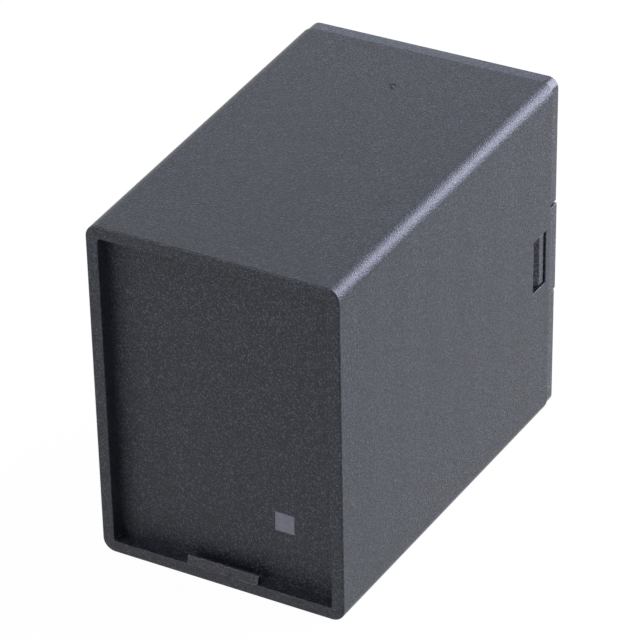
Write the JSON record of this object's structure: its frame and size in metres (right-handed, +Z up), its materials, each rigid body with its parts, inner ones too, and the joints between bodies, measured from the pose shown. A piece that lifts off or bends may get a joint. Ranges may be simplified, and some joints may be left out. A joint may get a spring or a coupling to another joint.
{
  "type": "phase monitor relay",
  "caption": "Plug-in phase monitor relay: a drafted moulded housing with a recessed front panel and light window, on an octal plug base with a key post, holding a board and a relay.",
  "frame": {"origin": "centre of the plug's seat, the face that meets the socket", "axes": "+Y to the rear along the plug, +Z up, +X to the right as seen from the front"},
  "size_m": [0.045, 0.0865, 0.061],
  "materials": {
    "housing": "fine spark-eroded texture, charcoal moulded plastic",
    "light_pipe": "smoke-grey diffusing plastic",
    "base": "fine matt black moulded plastic",
    "plated_pin": "nickel-plated brass, smooth",
    "tinned_wire": "tinned copper",
    "laminate": "glass-fibre laminate under green lacquer",
    "lamp": "green tinted clear epoxy",
    "resistor_ceramic": "ceramic body under a grey coat",
    "absorber_epoxy": "blue epoxy coat",
    "capacitor_sleeve": "black shrink sleeve on an aluminium can",
    "black_epoxy": "matt black moulding compound",
    "resistor_lacquer": "tan lacquer",
    "relay_plastic": "dark blue glass-filled plastic",
    "relay_case": "blue moulded plastic",
    "bobbin_plastic": "natural nylon",
    "copper_winding": "enamelled copper wire in close turns",
    "soft_iron": "zinc-plated soft iron",
    "spring_bronze": "rolled phosphor bronze",
    "silver_contact": "turned silver alloy",
    "contact_brass": "pressed brass strip"
  },
  "bodies": {
    "root": {"housing": "housing", "light_pipe": "light_pipe", "base": "base", "pin_1": "plated_pin", "pin_2": "plated_pin", "pin_3": "plated_pin", "pin_4": "plated_pin", "pin_5": "plated_pin", "pin_6": "plated_pin", "pin_7": "plated_pin", "pin_8": "plated_pin", "lead_1": "tinned_wire", "lead_2": "tinned_wire", "lead_3": "tinned_wire", "lead_4": "tinned_wire", "lead_5": "tinned_wire", "lead_6": "tinned_wire", "lead_7": "tinned_wire", "lead_8": "tinned_wire", "circuit_board": "laminate", "status_lamp": "lamp", "dropping_resistor_1": "resistor_ceramic", "dropping_resistor_2": "resistor_ceramic", "dropping_resistor_3": "resistor_ceramic", "surge_absorber_1": "absorber_epoxy", "surge_absorber_2": "absorber_epoxy", "surge_absorber_3": "absorber_epoxy", "filter_capacitor": "capacitor_sleeve", "controller_chip": "black_epoxy", "chip_legs": "tinned_wire", "voltage_regulator": "black_epoxy", "coil_driver": "black_epoxy", "rectifier_diodes": "black_epoxy", "signal_resistors": "resistor_lacquer", "part_wires": "tinned_wire", "relay_base": "relay_plastic", "relay_case": "relay_case", "coil_bobbin": "bobbin_plastic", "coil_winding": "copper_winding", "relay_core": "soft_iron", "relay_yoke": "soft_iron", "return_spring": "spring_bronze", "resting_contact": "contact_brass", "working_contact": "contact_brass", "coil_pins": "tinned_wire"},
    "armature": {"armature": "soft_iron", "contact_blade": "spring_bronze", "moving_contact": "silver_contact"}
  },
  "joints": [
    {"name": "armature_hinge", "type": "hinge", "parent": "root", "child": "armature", "pos_m": [-0.00815, -0.0406, 0.01593], "axis": [0, 0, -1], "range_deg": [0, 2.5], "stiffness_Nm_per_rad": 0.02, "springref_deg": -6.88}
  ]
}
